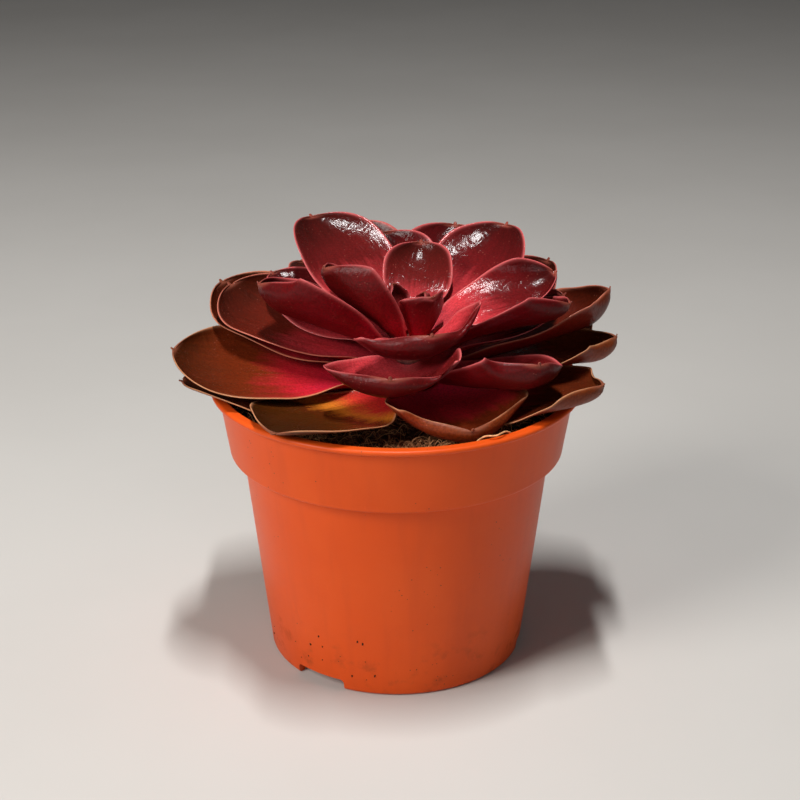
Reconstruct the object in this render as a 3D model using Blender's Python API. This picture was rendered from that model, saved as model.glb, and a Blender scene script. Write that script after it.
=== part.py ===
"""A red rosette succulent in a round plastic nursery pot.

World axes: +X right, +Y back, +Z up, in metres. The origin is on the pot's axis at the level of its foot.
The plant grows a little off the pot's axis. Every leaf is a spoon-shaped blade on the stem, and the younger
leaves, which sit higher on it, lie over the older ones.
"""

import math
from typing import NamedTuple

import bpy
import numpy as np

MM = 0.001

# Pot: a lip round the mouth, a tapered collar under it, then a narrower tapered body on a foot ring.
POT_HEIGHT = 93.0 * MM
LIP_RADIUS = 60.0 * MM
WALL = 1.2 * MM
LIP_HEIGHT = 1.8 * MM
LIP_OVERHANG = 2.6 * MM
COLLAR_HEIGHT = 21.0 * MM
COLLAR_TAPER = 3.2 * MM
COLLAR_CORNER = 1.2 * MM
STEP_WIDTH = 4.0 * MM
BODY_TAPER = 8.0 * MM
FOOT_FILLET = 1.4 * MM
BASE_LIFT = 5.2 * MM
POT_SIDES = 72

# Cut-outs in the foot ring, and holes in the raised base.
NOTCH_COUNT = 3
NOTCH_WIDTH = 18.5 * MM
NOTCH_HEIGHT = 3.8 * MM
NOTCH_FIRST_TURN = -126.0
DRAIN_COUNT = 6
DRAIN_RADIUS = 3.5 * MM
DRAIN_FROM_FOOT = 15.2 * MM
DRAIN_SIDES = 16

# Compost: it fills the pot to a little under the lip, with a low uneven top.
SOIL_BELOW_LIP = 8.0 * MM
SOIL_BUMP = 0.7 * MM
SOIL_RINGS = 5

# Stem: short, thick and domed, set into the compost.
PLANT_X = 5.0 * MM
PLANT_Y = -3.0 * MM
STEM_RADIUS = 8.5 * MM
STEM_HEIGHT = 25.0 * MM
STEM_IN_SOIL = 8.0 * MM
STEM_SIDES = 24
STEM_RINGS = 7

# Blades: the whole rosette's size, and the shape that all of them share.
LEAF_LENGTH_SCALE = 1.0
LEAF_WIDTH_SCALE = 1.0
LEAF_THICKNESS = 2.4 * MM
TIP_THICKNESS_SHARE = 0.4
NARROWEST = 1.0 * MM
NECK_SHARE = 0.24
WIDEST_AT = 0.62
TIP_BLUNTNESS = 2.3
NECK_CUP = 60.0
LENGTH_STEPS = 10
WIDTH_STEPS = 6

# Room kept between neighbouring solids, and between the blades as they are laid over one another.
GAP = 0.3 * MM
BLADE_GAP = 1.1 * MM
BLADE_CELL = 1.5 * MM
BLADE_PASSES = 90
GENTLE_PASSES = 0.5
FREE_PASSES = 0.2
BLADE_PUSH = 2.0 * MM
BLADE_SAMPLES = 4
EASING = 0.1
GROUND_CELLS = 70


class Leaf(NamedTuple):
    """One blade. Angles are in degrees and sizes in millimetres, before the rosette's scales."""

    turn: float  # way it points, anticlockwise from +X
    height: float  # where it leaves the stem: 0 at the compost, 1 at the top
    length: float
    width: float
    rise: float  # slope at the stem
    slope: float  # slope it would end on without its curl
    curl: float = 30.0  # extra upturn over the last quarter
    cup: float = 45.0  # half the angle of its cross-section
    roll: float = 0.0  # lean of the blade round its own midrib


# Youngest first.
LEAVES = (
    Leaf(150, 0.92, 17, 11, 78, 66, cup=50),
    Leaf(20, 0.94, 14, 8, 84, 74, cup=50),
    Leaf(-58, 0.90, 19, 19, 70, 56, curl=10, cup=55),
    Leaf(84, 0.88, 36, 24, 44, 32, curl=18, cup=35),
    Leaf(188, 0.7, 37, 37, 56, 44, curl=22, cup=62, roll=22),
    Leaf(16, 0.82, 48, 24, 28, 12, cup=50, roll=26),
    Leaf(128, 0.80, 59, 36, 35, 22, curl=24, cup=35),
    Leaf(-80, 0.79, 34, 48, 14, 26, curl=68, cup=56, roll=11),
    Leaf(50, 0.74, 54, 33, 39, 26, curl=18, cup=32),
    Leaf(178, 0.55, 50, 44, 34, 18, curl=42, cup=62, roll=20),
    Leaf(-11, 0.69, 49, 36, 23, 16, curl=38, cup=55, roll=-18),
    Leaf(102, 0.67, 50, 34, 36, 28, curl=18, cup=35),
    Leaf(-99, 0.61, 42, 48, 0, 14, curl=66, roll=4),
    Leaf(14, 0.64, 48, 28, 20, 12, cup=52, roll=-8),
    Leaf(143, 0.5, 56, 28, 18, 9, cup=35),
    Leaf(75, 0.60, 61, 34, 31, 18, cup=35),
    Leaf(-42, 0.44, 49, 41, 8, 14, curl=66, cup=50, roll=-20),
    Leaf(108, 0.56, 66, 32, 28, 18, cup=35),
    Leaf(39, 0.55, 58, 32, 24, 16, cup=40),
    Leaf(124, 0.46, 64, 34, 18, 9),
    Leaf(154, 0.49, 64, 46, 16, 8, curl=40, roll=-22),
    Leaf(16, 0.47, 67, 42, 11, 12, curl=62, cup=55, roll=-10),
    Leaf(151, 0.43, 70, 44, 14, 6, curl=45, roll=-18),
    Leaf(66, 0.42, 59, 34, 14, 10, curl=36),
    Leaf(-69, 0.2, 45, 54, -6, 2, curl=60, cup=50, roll=-10),
    Leaf(94, 0.38, 59, 36, 12, 8, curl=36),
    Leaf(182, 0.36, 71, 50, 2, 4, curl=44, cup=28, roll=-14),
    Leaf(4, 0.34, 64, 38, 1, 8, curl=70, cup=55, roll=-12),
    Leaf(32, 0.32, 64, 36, 8, 6, curl=36),
    Leaf(-24, 0.27, 60, 42, 0, 3, curl=66, cup=55),
    Leaf(-130, 0.09, 57, 50, 0, -2, curl=10, cup=34, roll=8),
    Leaf(72, 0.24, 61, 38, 4, 4, curl=36),
    Leaf(188, 0.25, 66, 40, 2, 0, curl=36, cup=30, roll=-12),
    Leaf(102, 0.21, 59, 38, 1, 2, curl=36),
)

SOIL_LEVEL = POT_HEIGHT - SOIL_BELOW_LIP
COLLAR_FOOT = POT_HEIGHT - LIP_HEIGHT - COLLAR_HEIGHT
COLLAR_TOP_RADIUS = LIP_RADIUS - LIP_OVERHANG
BODY_TOP_RADIUS = COLLAR_TOP_RADIUS - COLLAR_TAPER - STEP_WIDTH
FOOT_RADIUS = BODY_TOP_RADIUS - BODY_TAPER


def smooth_step(x):
    x = np.clip(x, 0.0, 1.0)
    return x * x * (3.0 - 2.0 * x)



def material(name, colour, roughness):
    made = bpy.data.materials.new(name)
    made.use_nodes = True
    shader = made.node_tree.nodes["Principled BSDF"]
    shader.inputs["Base Color"].default_value = (*colour, 1.0)
    shader.inputs["Roughness"].default_value = roughness
    shader.inputs["Metallic"].default_value = 0.0
    return made


def add_object(name, points, faces, look):
    mesh = bpy.data.meshes.new(name)
    mesh.from_pydata([tuple(point) for point in points], [], faces)
    mesh.materials.append(look)
    mesh.shade_smooth()
    mesh.set_sharp_from_angle(angle=math.radians(40))
    made = bpy.data.objects.new(name, mesh)
    bpy.context.scene.collection.objects.link(made)
    return made


def arc(centre_r, centre_z, radius, start, end, steps):
    """Points of a round corner in a turned profile, from one angle to another in degrees."""
    turns = [math.radians(start + (end - start) * i / steps) for i in range(steps + 1)]
    return [(centre_r + radius * math.cos(t), centre_z + radius * math.sin(t)) for t in turns]


def circle(radius, height, sides, centre=(0.0, 0.0)):
    turns = [math.tau * i / sides for i in range(sides)]
    return [(centre[0] + radius * math.cos(t), centre[1] + radius * math.sin(t), height) for t in turns]


def skinned(name, rings, look):
    """Rings of points joined in order and closed by flat ends; the first end faces up and the last down."""
    sides = len(rings[0])
    faces = [list(range(sides))]
    for first in range(0, sides * (len(rings) - 1), sides):
        for i in range(sides):
            j = (i + 1) % sides
            faces.append([first + i, first + sides + i, first + sides + j, first + j])
    faces.append([sides * len(rings) - 1 - i for i in range(sides)])
    return add_object(name, [point for ring in rings for point in ring], faces, look)


def cut(target, cutter):
    cutter.hide_render = True
    cutter.display_type = "WIRE"
    made = target.modifiers.new(cutter.name, "BOOLEAN")
    made.operation = "DIFFERENCE"
    made.solver = "EXACT"
    made.object = cutter



def body_radius(height):
    return FOOT_RADIUS + BODY_TAPER * height / COLLAR_FOOT


def collar_radius(height):
    share = (height - COLLAR_FOOT) / COLLAR_HEIGHT
    return COLLAR_TOP_RADIUS - COLLAR_TAPER * (1 - share)


def mouth_radius():
    return COLLAR_TOP_RADIUS - WALL


def pot_outside():
    """From the lip's inner edge, over it and down to the foot ring, as (radius, height)."""
    lip_round = LIP_HEIGHT / 2
    lip_middle = POT_HEIGHT - lip_round
    corner = COLLAR_FOOT + COLLAR_CORNER
    points = arc(mouth_radius() + lip_round, lip_middle, lip_round, 180, 90, 3)
    points += arc(LIP_RADIUS - lip_round, lip_middle, lip_round, 90, -90, 6)
    points.append((COLLAR_TOP_RADIUS, POT_HEIGHT - LIP_HEIGHT))
    points += arc(collar_radius(corner) - COLLAR_CORNER, corner, COLLAR_CORNER, 0, -90, 4)
    points.append((BODY_TOP_RADIUS, COLLAR_FOOT))
    points += arc(body_radius(FOOT_FILLET) - FOOT_FILLET, FOOT_FILLET, FOOT_FILLET, 0, -90, 3)
    return points


def pot_inside(clear):
    """From the base up to just under the collar's top, kept clear of the wall by a gap."""
    ledge = COLLAR_FOOT + WALL
    return [
        (body_radius(BASE_LIFT) - WALL - clear, BASE_LIFT + clear),
        (BODY_TOP_RADIUS - WALL - clear, ledge + clear),
        (collar_radius(ledge) - WALL - clear, ledge + clear),
    ]


def add_pot():
    plastic = material("terracotta_plastic", (0.66, 0.115, 0.032), 0.42)
    under = BASE_LIFT - WALL
    foot_inner = FOOT_RADIUS - FOOT_FILLET - WALL
    profile = pot_inside(0.0) + pot_outside() + [(foot_inner, 0.0), (foot_inner, under)]
    pot = skinned("pot", [circle(radius, height, POT_SIDES) for radius, height in profile], plastic)
    for i in range(NOTCH_COUNT):
        turn = NOTCH_FIRST_TURN + i * 360.0 / NOTCH_COUNT
        cut(pot, notch_cutter(f"notch_cutter_{i + 1}", math.radians(turn), plastic))
    for i in range(DRAIN_COUNT):
        turn = math.tau * (i + 0.5) / DRAIN_COUNT
        reach = FOOT_RADIUS - DRAIN_FROM_FOOT
        middle = (reach * math.cos(turn), reach * math.sin(turn))
        ends = (BASE_LIFT + WALL, under - WALL)
        rings = [circle(DRAIN_RADIUS, height, DRAIN_SIDES, middle) for height in ends]
        cut(pot, skinned(f"drain_cutter_{i + 1}", rings, plastic))


def notch_cutter(name, turn, look):
    """A block across the foot ring, reaching below it."""
    reach = 2 * (FOOT_FILLET + WALL)
    rings = []
    for height in (NOTCH_HEIGHT, -NOTCH_HEIGHT):
        ring = []
        for out, side in ((reach, -0.5), (reach, 0.5), (-reach, 0.5), (-reach, -0.5)):
            along = FOOT_RADIUS + out
            across = side * NOTCH_WIDTH
            x = along * math.cos(turn) - across * math.sin(turn)
            y = along * math.sin(turn) + across * math.cos(turn)
            ring.append((x, y, height))
        rings.append(ring)
    return skinned(name, rings, look)



def soil_height(x, y):
    wave = math.sin(x / (7.0 * MM) + 0.6) * math.cos(y / (9.0 * MM)) + 0.5 * math.sin((x - y) / (4.5 * MM))
    return SOIL_LEVEL + SOIL_BUMP * wave / 1.5


def stem_radius(height):
    """The stem's outside from the compost up to its dome."""
    share = np.clip((height - SOIL_LEVEL) / STEM_HEIGHT, 0.0, 1.0)
    return STEM_RADIUS * np.sqrt(np.clip(1.0 - share**2.2, 0.02, 1.0)) * (1.0 - 0.25 * share)


def add_soil():
    compost = material("compost", (0.045, 0.026, 0.016), 0.95)
    plant = (PLANT_X, PLANT_Y)
    well = STEM_RADIUS
    level = SOIL_LEVEL
    rings = [circle(well, level - STEM_IN_SOIL, POT_SIDES, plant), circle(well, level, POT_SIDES, plant)]
    edge = collar_radius(level) - WALL - GAP
    for i in range(1, SOIL_RINGS + 1):
        share = i / SOIL_RINGS
        middle = (PLANT_X * (1 - share), PLANT_Y * (1 - share))
        flat = circle(well + (edge - well) * share, level, POT_SIDES, middle)
        rings.append([(x, y, soil_height(x, y)) for x, y, _ in flat])
    for radius, height in reversed(pot_inside(GAP)):
        rings.append(circle(radius, height, POT_SIDES))
    skinned("potting_soil", rings, compost)


def add_stem():
    bark = material("stem_bark", (0.23, 0.11, 0.06), 0.8)
    plant = (PLANT_X, PLANT_Y)
    rings = []
    top = STEM_HEIGHT - GAP
    for i in range(STEM_RINGS):
        height = SOIL_LEVEL + top * math.cos(0.5 * math.pi * i / (STEM_RINGS - 1))
        rings.append(circle(float(stem_radius(height)) - GAP, height, STEM_SIDES, plant))
    rings.append(circle(STEM_RADIUS - GAP, SOIL_LEVEL - STEM_IN_SOIL + GAP, STEM_SIDES, plant))
    skinned("stem", rings, bark)



def half_width(share):
    """Half the width along a blade, as a share of its widest: a neck, a swell, then a blunt tip."""
    swell = NECK_SHARE + (1 - NECK_SHARE) * np.sin(np.clip(share / WIDEST_AT, 0, 1) * math.pi / 2) ** 1.5
    past = np.clip((share - WIDEST_AT) / (1 - WIDEST_AT), 0, 1)
    return np.where(share < WIDEST_AT, swell, np.sqrt(1 - past**TIP_BLUNTNESS))


def length_shares():
    """Places of the grid's rows from stem to tip, closer together at the tip."""
    return 1.0 - (1.0 - np.linspace(0.0, 1.0, LENGTH_STEPS + 1)) ** 1.15


def width_shares():
    """Places of the grid's columns from margin to margin, a little closer together at the margins."""
    side = np.linspace(-1.0, 1.0, WIDTH_STEPS + 1)
    return 0.35 * np.sin(side * math.pi / 2) + 0.65 * side


def blade(leaf):
    """(upper surface, thickness) of a leaf as it would grow alone, on a grid of length by width."""
    fine = np.linspace(0.0, 1.0, 201)
    share = length_shares()
    side = width_shares()
    length = leaf.length * MM * LEAF_LENGTH_SCALE
    turn = math.radians(leaf.turn)
    pitch = leaf.rise + (leaf.slope - leaf.rise) * fine**1.1 + leaf.curl * smooth_step((fine - 0.72) / 0.28)
    pitch = np.radians(pitch)
    out = np.array([math.cos(turn), math.sin(turn), 0.0])
    up = np.array([0.0, 0.0, 1.0])
    along = np.cos(pitch)[:, None] * out + np.sin(pitch)[:, None] * up
    height = SOIL_LEVEL + leaf.height * STEM_HEIGHT
    root = np.array([PLANT_X, PLANT_Y, height]) + out * (float(stem_radius(height)) + GAP)
    steps = (along[1:] + along[:-1]) / 2 * length / (len(fine) - 1)
    midrib = root + np.vstack([np.zeros(3), np.cumsum(steps, axis=0)])
    middle = np.stack([np.interp(share, fine, midrib[:, k]) for k in range(3)], axis=-1)
    forward = np.stack([np.interp(share, fine, along[:, k]) for k in range(3)], axis=-1)
    forward /= np.linalg.norm(forward, axis=1, keepdims=True)
    across = np.cross(up, out)[None, :].repeat(len(share), axis=0)
    normal = np.cross(forward, across)
    lean = (math.radians(leaf.roll) * smooth_step(share / 0.35))[:, None]
    across, normal = across * np.cos(lean) + normal * np.sin(lean), normal * np.cos(lean) - across * np.sin(lean)
    half = np.maximum(leaf.width * MM * LEAF_WIDTH_SCALE / 2 * half_width(share), NARROWEST / 2)
    bend = np.radians(leaf.cup + (NECK_CUP - leaf.cup) * (1 - smooth_step(share / 0.45)))
    angle = bend[:, None] * side
    spread = (half / bend)[:, None]
    upper = middle[:, None] + across[:, None] * (spread * np.sin(angle))[..., None]
    upper += normal[:, None] * (spread * (1 - np.cos(angle)))[..., None]
    taper = 1 - (1 - TIP_THICKNESS_SHARE) * smooth_step((share - 0.1) / 0.9)
    taper *= np.clip(half / (0.25 * leaf.width * MM), 0.3, 1.0)
    return upper, LEAF_THICKNESS * taper[:, None] * (1 - np.abs(side) ** 2.4)


def unit_normals(upper):
    """The upper side's normals; the tip, too narrow to measure, takes those of the row before it."""
    lengthwise = np.gradient(upper, axis=-3)
    widthwise = np.gradient(upper, axis=-2)
    normal = np.cross(lengthwise, widthwise)
    normal /= np.linalg.norm(normal, axis=-1, keepdims=True)
    normal[..., -1, :, :] = normal[..., -2, :, :]
    return normal


def widest_near(field):
    """Each grid value replaced by the largest of itself and its neighbours."""
    padded = np.pad(field, ((0, 0), (1, 1), (1, 1)), mode="edge")
    rows, columns = field.shape[1:]
    return np.max([padded[:, i : i + rows, j : j + columns] for i in range(3) for j in range(3)], axis=0)


def blurred(field):
    """Each grid value averaged with its neighbours."""
    padded = np.pad(field, ((0, 0), (1, 1), (0, 0)) + ((0, 0),) * (field.ndim - 3), mode="edge")
    field = 0.25 * padded[:, :-2] + 0.5 * padded[:, 1:-1] + 0.25 * padded[:, 2:]
    padded = np.pad(field, ((0, 0), (0, 0), (1, 1)) + ((0, 0),) * (field.ndim - 3), mode="edge")
    return 0.25 * padded[:, :, :-2] + 0.5 * padded[:, :, 1:-1] + 0.25 * padded[:, :, 2:]


def sampling(rows, columns, steps):
    """Weights that read a grid at evenly spaced places between its points, as (row weights, column weights)."""

    def weights(count):
        places = np.linspace(0, count - 1, (count - 1) * steps + 1)
        return np.maximum(0.0, 1.0 - np.abs(places[:, None] - np.arange(count)))

    return weights(rows), weights(columns)


def cells_of(points):
    """The square of the ground plane under each point."""
    index = np.floor(points[..., :2] / BLADE_CELL).astype(int) + GROUND_CELLS
    index = np.clip(index, 0, 2 * GROUND_CELLS - 1)
    return index[..., 0] * 2 * GROUND_CELLS + index[..., 1]


def ground():
    """The height under each square: the compost inside the mouth, the lip round it, and nothing beyond."""
    middles = (np.arange(2 * GROUND_CELLS) - GROUND_CELLS + 0.5) * BLADE_CELL
    radius = np.hypot(middles[:, None], middles[None, :]).ravel()
    level = np.where(radius < mouth_radius() - 2 * GAP - BLADE_CELL, SOIL_LEVEL + SOIL_BUMP, POT_HEIGHT)
    return np.where(radius > LIP_RADIUS + 2 * GAP + BLADE_CELL, -1.0, level)


def crowding(upper, thickness):
    """How far each grid point has to rise off what is under it, and to sink from what is over it."""
    rows, columns = sampling(*thickness.shape[1:], BLADE_SAMPLES)
    under = upper - unit_normals(upper) * thickness[..., None]
    tops = np.einsum("si,tj,nijk->nstk", rows, columns, upper)
    bottoms = np.einsum("si,tj,nijk->nstk", rows, columns, under)
    count = len(upper)
    highest = np.full((count, (2 * GROUND_CELLS) ** 2), -1.0)
    lowest = np.full((count, (2 * GROUND_CELLS) ** 2), 1.0)
    top_cells = cells_of(tops)
    bottom_cells = cells_of(bottoms)
    for n in range(count):
        np.maximum.at(highest[n], top_cells[n].ravel(), tops[n, ..., 2].ravel())
        np.minimum.at(lowest[n], bottom_cells[n].ravel(), bottoms[n, ..., 2].ravel())
    over = np.vstack([np.full((1, lowest.shape[1]), 1.0), np.minimum.accumulate(lowest, axis=0)[:-1]])
    below = np.maximum.accumulate(np.vstack([ground()[None], highest[:0:-1]]), axis=0)[::-1]
    each = np.arange(count)[:, None, None]
    rise = np.maximum(below[each, bottom_cells] + BLADE_GAP - bottoms[..., 2], 0.0)
    sink = np.maximum(tops[..., 2] + BLADE_GAP - over[each, top_cells], 0.0)
    return nearest_largest(rise), nearest_largest(sink)


def nearest_largest(field):
    """The samples' largest value near each grid point."""
    for _ in range(BLADE_SAMPLES // 2):
        field = widest_near(field)
    return field[:, ::BLADE_SAMPLES, ::BLADE_SAMPLES]


def clear_of_stem(upper):
    """Points that would be in the stem, moved straight out of it."""
    plant = np.array([PLANT_X, PLANT_Y])
    away = upper[..., :2] - plant
    radius = np.linalg.norm(away, axis=-1)
    least = np.where(upper[..., 2] < SOIL_LEVEL + STEM_HEIGHT, stem_radius(upper[..., 2]) + 2 * GAP, 0.0)
    factor = np.maximum(least / radius, 1.0)
    moved = upper.copy()
    moved[..., :2] = plant + away * factor[..., None]
    return moved


def gentle_bends(share, side):
    """A matrix that keeps only the smooth part of a shift over a blade: a lift, tilts, a twist and wide bends."""
    along = np.repeat(share, len(side))
    across = np.outer(half_width(share), side).ravel()
    shapes = [along**i * across**j for j, most in ((0, 3), (1, 2), (2, 1)) for i in range(most + 1)]
    basis = np.linalg.qr(np.stack(shapes, axis=1))[0]
    return basis @ basis.T


def evened(shift, share):
    """The shifts with each narrow row moved more as one, up to the tip, which moves quite as one."""
    narrow = 1.0 - np.clip(half_width(share) / 0.6, 0.0, 1.0)[None, :, None, None]
    return shift + narrow * (shift.mean(axis=2, keepdims=True) - shift)


def laid_over(leaves):
    """The leaves' surfaces once every blade lies clear of its neighbours, the stem, the compost and the lip."""
    grids = [blade(leaf) for leaf in leaves]
    alone = np.stack([grid[0] for grid in grids])
    thickness = np.stack([grid[1] for grid in grids])
    smooth = gentle_bends(length_shares(), width_shares())
    shift = np.zeros_like(alone)
    for step in range(BLADE_PASSES):
        upper = clear_of_stem(alone + shift)
        rise, sink = crowding(upper, thickness)
        push = np.clip(rise, 0, BLADE_PUSH) - np.clip(sink, 0, BLADE_PUSH)
        lean = unit_normals(upper) + np.array([0.0, 0.0, 0.5])
        lean /= np.linalg.norm(lean, axis=-1, keepdims=True)
        if step < BLADE_PASSES * (1 - FREE_PASSES):
            push = blurred(push)
        shift = upper - alone + 0.5 * push[..., None] * lean
        gentle = np.einsum("ab,nbk->nak", smooth, shift.reshape(len(leaves), -1, 3)).reshape(shift.shape)
        if step < BLADE_PASSES * GENTLE_PASSES:
            shift = gentle
        elif step < BLADE_PASSES * (1 - FREE_PASSES):
            shift = EASING * gentle + (1 - EASING) * evened(shift, length_shares())
    return clear_of_stem(alone + shift), thickness


def leaf_faces(rows, columns):
    """Faces of a closed blade: upper points, then the under points between the two margins."""
    upper = np.arange(rows * columns).reshape(rows, columns)
    under = upper.copy()
    under[:, 1:-1] = rows * columns + np.arange(rows * (columns - 2)).reshape(rows, columns - 2)
    faces = []
    for i in range(rows - 1):
        for j in range(columns - 1):
            faces.append([upper[i, j], upper[i + 1, j], upper[i + 1, j + 1], upper[i, j + 1]])
            faces.append([under[i, j], under[i, j + 1], under[i + 1, j + 1], under[i + 1, j]])
    faces.append(list(upper[0]) + list(under[0, -2:0:-1]))
    faces.append(list(upper[-1, ::-1]) + list(under[-1, 1:-1]))
    return [[int(index) for index in face] for face in faces]


def add_leaves():
    uppers, thickness = laid_over(LEAVES)
    unders = uppers - unit_normals(uppers) * thickness[..., None]
    faces = leaf_faces(*thickness.shape[1:])
    for n, (upper, under) in enumerate(zip(uppers, unders), start=1):
        age = n / len(uppers)
        colour = (0.20 - 0.08 * age, 0.018 + 0.030 * age**3, 0.020 - 0.008 * age)
        name = f"leaf_{n:02d}"
        points = np.vstack([upper.reshape(-1, 3), under[:, 1:-1].reshape(-1, 3)])
        add_object(name, points.tolist(), faces, material(name + "_skin", colour, 0.32))


def main():
    for old in list(bpy.data.objects):
        bpy.data.objects.remove(old, do_unlink=True)
    add_pot()
    add_soil()
    add_stem()
    add_leaves()


main()
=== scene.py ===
# A dark red rosette succulent in a terracotta-coloured nursery pot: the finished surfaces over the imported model.
# Metres, +Z up, +Y to the back. The origin is on the pot's axis, level with its foot.
import math
import random

import bpy
import numpy as np
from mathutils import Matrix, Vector, noise


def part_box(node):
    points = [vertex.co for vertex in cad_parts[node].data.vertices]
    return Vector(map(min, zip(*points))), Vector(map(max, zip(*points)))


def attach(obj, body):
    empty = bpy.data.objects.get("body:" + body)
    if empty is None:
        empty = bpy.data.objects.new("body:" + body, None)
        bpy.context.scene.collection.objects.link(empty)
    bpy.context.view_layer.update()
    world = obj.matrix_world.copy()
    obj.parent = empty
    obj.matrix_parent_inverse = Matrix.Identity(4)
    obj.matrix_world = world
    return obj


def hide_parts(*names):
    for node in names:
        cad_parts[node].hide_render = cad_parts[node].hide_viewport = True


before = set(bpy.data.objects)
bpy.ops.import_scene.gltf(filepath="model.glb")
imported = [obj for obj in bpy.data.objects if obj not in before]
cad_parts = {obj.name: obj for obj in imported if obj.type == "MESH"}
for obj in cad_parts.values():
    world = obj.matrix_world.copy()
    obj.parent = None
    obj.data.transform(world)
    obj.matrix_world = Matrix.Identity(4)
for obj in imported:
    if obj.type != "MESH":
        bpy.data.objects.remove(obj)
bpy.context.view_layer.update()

mm = 0.001
scene = bpy.context.scene

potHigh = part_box("pot")[1]
potHeight = potHigh.z
lipRadius = potHigh.x


class Sock:
    # A socket that takes part in ordinary arithmetic: each operator adds one Math node.
    def __init__(self, paint, socket):
        self.paint = paint
        self.socket = socket

    def maths(self, operation, *values, clamp=False):
        settings = {"operation": operation, "use_clamp": clamp}
        return self.paint.node("Math", settings, dict(enumerate(values)))

    def __add__(self, other):
        return self.maths("ADD", self, other)

    def __radd__(self, other):
        return self.maths("ADD", other, self)

    def __sub__(self, other):
        return self.maths("SUBTRACT", self, other)

    def __rsub__(self, other):
        return self.maths("SUBTRACT", other, self)

    def __mul__(self, other):
        return self.maths("MULTIPLY", self, other)

    def __rmul__(self, other):
        return self.maths("MULTIPLY", other, self)

    def __truediv__(self, other):
        return self.maths("DIVIDE", self, other)

    def __rtruediv__(self, other):
        return self.maths("DIVIDE", other, self)

    def __pow__(self, other):
        return self.maths("POWER", self, other)

    def clamped(self):
        return self.maths("ADD", self, 0.0, clamp=True)

    def between(self, low, high):  # 0 at low, 1 at high, smooth
        values = {"Value": self, "From Min": low, "From Max": high, "To Min": 0.0, "To Max": 1.0}
        return self.paint.node("MapRange", {"interpolation_type": "SMOOTHSTEP"}, values)


class Paint:
    # A material: its constant settings go on the shader, and what varies over the surface is linked in.
    def __init__(self, name, **settings):
        self.material = bpy.data.materials.new(name)
        self.material.use_nodes = True
        self.tree = self.material.node_tree
        self.shader = self.tree.nodes["Principled BSDF"]
        for key, value in settings.items():
            self.shader.inputs[key.replace("_", " ")].default_value = value

    def node(self, kind, settings=None, values=None, out=0):
        made = self.tree.nodes.new("ShaderNode" + kind)
        for key, value in (settings or {}).items():
            if key == "stops":
                self.fillRamp(made.color_ramp, value)
            else:
                setattr(made, key, value)
        for key, value in (values or {}).items():
            self.put(made.inputs[key], value)
        return Sock(self, made.outputs[out])

    def fillRamp(self, ramp, stops):
        while len(ramp.elements) < len(stops):
            ramp.elements.new(0.5)
        for element, (place, colour) in zip(ramp.elements, stops):
            element.position = place
            element.color = (*colour, 1.0)

    def put(self, target, value):
        if isinstance(value, Sock):
            self.tree.links.new(value.socket, target)
        elif target.type == "RGBA":
            target.default_value = (*value, 1.0)
        else:
            target.default_value = value

    def field(self, name):  # a number kept on the mesh's points
        return self.node("Attribute", {"attribute_name": name}, out=2)

    def place(self):  # where the point is on the object, in metres
        return self.node("TexCoord", out=3)

    def grain(self, scale, detail=3.0, rough=0.55, where=None, distortion=0.0):
        values = {"Vector": where or self.place(), "Scale": scale, "Detail": detail}
        values.update({"Roughness": rough, "Distortion": distortion})
        return self.node("TexNoise", None, values)

    def cells(self, scale, where=None, feature="F1"):
        values = {"Vector": where or self.place(), "Scale": scale}
        return self.node("TexVoronoi", {"feature": feature}, values)

    def mix(self, share, first, second, kind="MIX"):
        settings = {"data_type": "RGBA", "blend_type": kind}
        return self.node("Mix", settings, {0: share, 6: first, 7: second}, out=2)

    def stretched(self, x, y, z):
        return self.node("VectorMath", {"operation": "MULTIPLY"}, {0: self.place(), 1: (x, y, z)})

    def joined(self, x, y, z=0.0):
        return self.node("CombineXYZ", None, {0: x, 1: y, 2: z})

    def bump(self, height, strength, distance, under=None):
        values = {"Height": height, "Strength": strength, "Distance": distance}
        if under:
            values["Normal"] = under
        return self.node("Bump", None, values)

    def finish(self, colour=None, roughness=None, normal=None):
        linked = {"Base Color": colour, "Roughness": roughness, "Normal": normal}
        for key, value in linked.items():
            if value is not None:
                self.put(self.shader.inputs[key], value)
        return self.material


def smoothStep(x):
    x = np.clip(x, 0.0, 1.0)
    return x * x * (3.0 - 2.0 * x)


def curveWeights(places, count):
    # Smooth weights that read a row of values at places between them.
    base = np.clip(np.floor(places).astype(int), 0, count - 2)
    t = places - base
    parts = [
        (-0.5 * t + t**2 - 0.5 * t**3),
        (1 - 2.5 * t**2 + 1.5 * t**3),
        (0.5 * t + 2 * t**2 - 1.5 * t**3),
        (-0.5 * t**2 + 0.5 * t**3),
    ]
    weights = np.zeros((len(places), count))
    for k, part in enumerate(parts):
        index = base + k - 1
        for row, (spot, value) in enumerate(zip(index, part)):
            if spot < 0:  # past the first value: carry its slope on
                weights[row, 0] += 2 * value
                weights[row, 1] -= value
            elif spot > count - 1:
                weights[row, count - 1] += 2 * value
                weights[row, count - 2] -= value
            else:
                weights[row, spot] += value
    return weights


def addMesh(name, points, faces, material, replaced=(), fields=None, sharp=50):
    mesh = bpy.data.meshes.new(name)
    mesh.from_pydata(np.asarray(points, float).tolist(), [], [list(map(int, face)) for face in faces])
    mesh.materials.append(material)
    mesh.shade_smooth()
    if sharp:
        mesh.set_sharp_from_angle(angle=math.radians(sharp))
    for key, values in (fields or {}).items():
        layer = mesh.attributes.new(key, "FLOAT", "POINT")
        layer.data.foreach_set("value", np.asarray(values, np.float32).ravel())
    made = bpy.data.objects.new(name, mesh)
    scene.collection.objects.link(made)
    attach(made, "root")
    if replaced:
        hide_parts(*replaced)
    return made


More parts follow.
